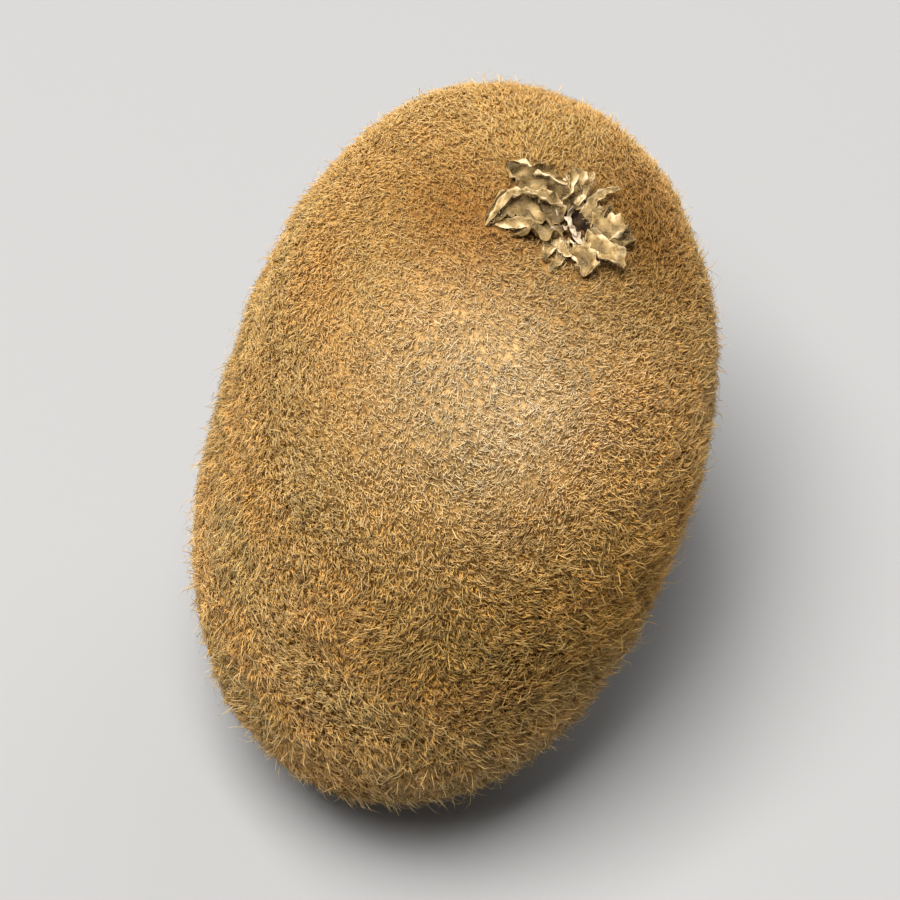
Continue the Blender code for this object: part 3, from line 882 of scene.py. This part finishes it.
ROOT_TO_TIP = root_to_tip_group()


def fuzz_material(name, root, middle, tip):
    """Dry hair: darker at the root, paler towards the tip, and times its own tint."""
    material, shader, add, link = material_nodes(name)
    up_hair = add("ShaderNodeGroup", node_tree=ROOT_TO_TIP)
    for socket, colour in zip(up_hair.inputs, (root, middle, tip)):
        socket.default_value = (*colour, 1.0)
    tinted = add("ShaderNodeGroup", node_tree=OWN_TINT)
    link(up_hair.outputs["Color"], tinted.inputs["Color"])
    link(tinted.outputs["Color"], shader.inputs["Base Color"])
    shader.inputs["Roughness"].default_value = 0.50
    shader.inputs["Specular IOR Level"].default_value = 0.25
    return material


short_hair = fuzz_material("short_fuzz", (0.50, 0.262, 0.036), (0.83, 0.578, 0.262), (0.98, 0.865, 0.765))
long_hair = fuzz_material("long_fuzz", (0.60, 0.378, 0.115), (0.92, 0.76, 0.54), (0.99, 0.91, 0.84))
short_hairs = grow_hairs(SHORT_TUFTS, HAIRS_IN_TUFT, SHORT_LENGTH, SHORT_RADIUS, SHORT_LEANS, 11)
long_hairs = grow_hairs(LONG_HAIRS, 1, LONG_LENGTH, LONG_RADIUS, LONG_LEANS, 12)
for kind, hairs, pieces, material in (
    ("short", short_hairs, SHORT_PIECES, short_hair), ("long", long_hairs, LONG_PIECES, long_hair)
):
    for number in range(pieces):
        name = f"{kind}_fuzz_{number + 1}"
        share = hair_mesh(name, *(values[number::pieces] for values in hairs))
        new_piece(name, share, material)

# The sepals' down. The dry leaves are still felted with very short pale hairs, as all young parts of
# the plant are. They grow on both faces, in all directions.

DOWN_HAIRS = 420  # on each strip
DOWN_LENGTH, DOWN_RADIUS, DOWN_LEANS = 0.00040, 0.000014, (0.70, 1.20)
DOWN_SIZES, DOWN_TONES, DOWN_ROOT = (0.5, 1.3), (0.55, 1.0), 0.2  # the last a share of a hair's first part
DOWN_LEAN_CHANCE, DOWN_LEAN_LIMITS = 0.3, (0, 1.5)


def grow_down(rings, seed):
    """Short hairs on one strip: places drawn by area on its grid, leaning any way from its face."""
    chance = np.random.default_rng(seed)
    along, across = rings[1:-1] - rings[:-2], np.roll(rings, -1, axis=1)[:-2] - rings[:-2]
    face = np.cross(along, across)
    area = np.linalg.norm(face, axis=-1) + 1e-15  # never nothing, because it divides
    picked = chance.choice(area.size, DOWN_HAIRS, p=(area / area.sum()).ravel())
    row, column = np.unravel_index(picked, area.shape)
    shares = chance.uniform(0, 1, (2, DOWN_HAIRS, 1))
    root = rings[row, column] + shares[0] * along[row, column] + shares[1] * across[row, column]
    normal = face[row, column] / area[row, column][:, None]
    sideways = np.cross(normal, chance.normal(size=(DOWN_HAIRS, 3)))
    sideways /= np.linalg.norm(sideways, axis=1)[:, None]
    step = DOWN_LENGTH * chance.uniform(*DOWN_SIZES, (DOWN_HAIRS, 1)) / len(DOWN_LEANS)
    points = [root - DOWN_ROOT * step * normal]
    for lean in DOWN_LEANS:
        lean = lean + chance.normal(0, DOWN_LEAN_CHANCE, (DOWN_HAIRS, 1))
        lean = np.clip(lean, *DOWN_LEAN_LIMITS)
        points.append(points[-1] + step * (np.cos(lean) * normal + np.sin(lean) * sideways))
    tone = chance.uniform(*DOWN_TONES, (DOWN_HAIRS, 1))
    return np.stack(points, axis=1), np.full(DOWN_HAIRS, DOWN_RADIUS), tone * [1.0, 1.0, 1.0]


felt = fuzz_material("sepal_down", (0.34, 0.22, 0.08), (0.58, 0.40, 0.17), (0.80, 0.60, 0.30))
for name, shapes in strips.items():
    grown = [grow_down(rings, 200 + number) for number, (rings, _) in enumerate(shapes)]
    down_hairs = hair_mesh(f"{name}_down", *(np.concatenate(values) for values in zip(*grown)))
    new_piece(f"{name}_down", down_hairs, felt)

# The stage: a plain pale floor, a broad soft light overhead, a weak one behind, and the photograph's
# view, which looks down at 60 degrees.

VIEW_ELEVATION, VIEW_DISTANCE = np.radians(60.0), 0.41
LOOKS_AT = np.array([0.0017, 0.0008, 0.0335])
LENS, SENSOR = 178.0, 36.0
FLOOR_HALF, FLOOR_GREY = 3.0, 0.30
LAMP_COLOUR, SKY_COLOUR, SKY_STRENGTH = (1.0, 0.98, 0.96), (0.97, 0.98, 1.0), 0.16


def pale_floor():
    """A wide flat floor of one pale matt colour."""
    material, shader, _, _ = material_nodes("pale_floor")
    shader.inputs["Base Color"].default_value = (FLOOR_GREY, FLOOR_GREY, FLOOR_GREY, 1.0)
    shader.inputs["Roughness"].default_value = 0.9
    mesh = bpy.data.meshes.new("floor")
    corners = [(-1, -1, 0), (1, -1, 0), (1, 1, 0), (-1, 1, 0)]
    mesh.from_pydata(FLOOR_HALF * np.array(corners), [], [(0, 1, 2, 3)])
    mesh.materials.append(material)
    floor = bpy.data.objects.new("floor", mesh)
    bpy.context.scene.collection.objects.link(floor)


def soft_light(name, place, size, power):
    """A square area light that faces the fruit."""
    lamp = bpy.data.lights.new(name, "AREA")
    lamp.size = size
    lamp.energy = power
    lamp.color = LAMP_COLOUR
    light = bpy.data.objects.new(name, lamp)
    light.location = place
    towards = Vector(LOOKS_AT) - light.location
    light.rotation_euler = towards.to_track_quat("-Z", "Y").to_euler()
    bpy.context.scene.collection.objects.link(light)


pale_floor()
soft_light("overhead", place=(-0.12, -0.08, 0.86), size=0.40, power=16.5)
soft_light("fill_behind", place=(0.35, 0.55, 0.40), size=0.60, power=2.2)
world = bpy.data.worlds.new("studio")
bpy.context.scene.world = world
world.use_nodes = True
sky = world.node_tree.nodes["Background"]
sky.inputs["Color"].default_value = (*SKY_COLOUR, 1.0)
sky.inputs["Strength"].default_value = SKY_STRENGTH

camera = bpy.data.objects.new("camera", bpy.data.cameras.new("camera"))
bpy.context.scene.collection.objects.link(camera)
back = np.array([0.0, -np.cos(VIEW_ELEVATION), np.sin(VIEW_ELEVATION)])
camera.location = LOOKS_AT + VIEW_DISTANCE * back
camera.rotation_euler = (np.pi / 2 - VIEW_ELEVATION, 0.0, 0.0)
camera.data.lens = LENS
camera.data.sensor_width = SENSOR
camera.data.clip_start = 0.01
bpy.context.scene.camera = camera
bpy.context.scene.view_settings.view_transform = "Standard"
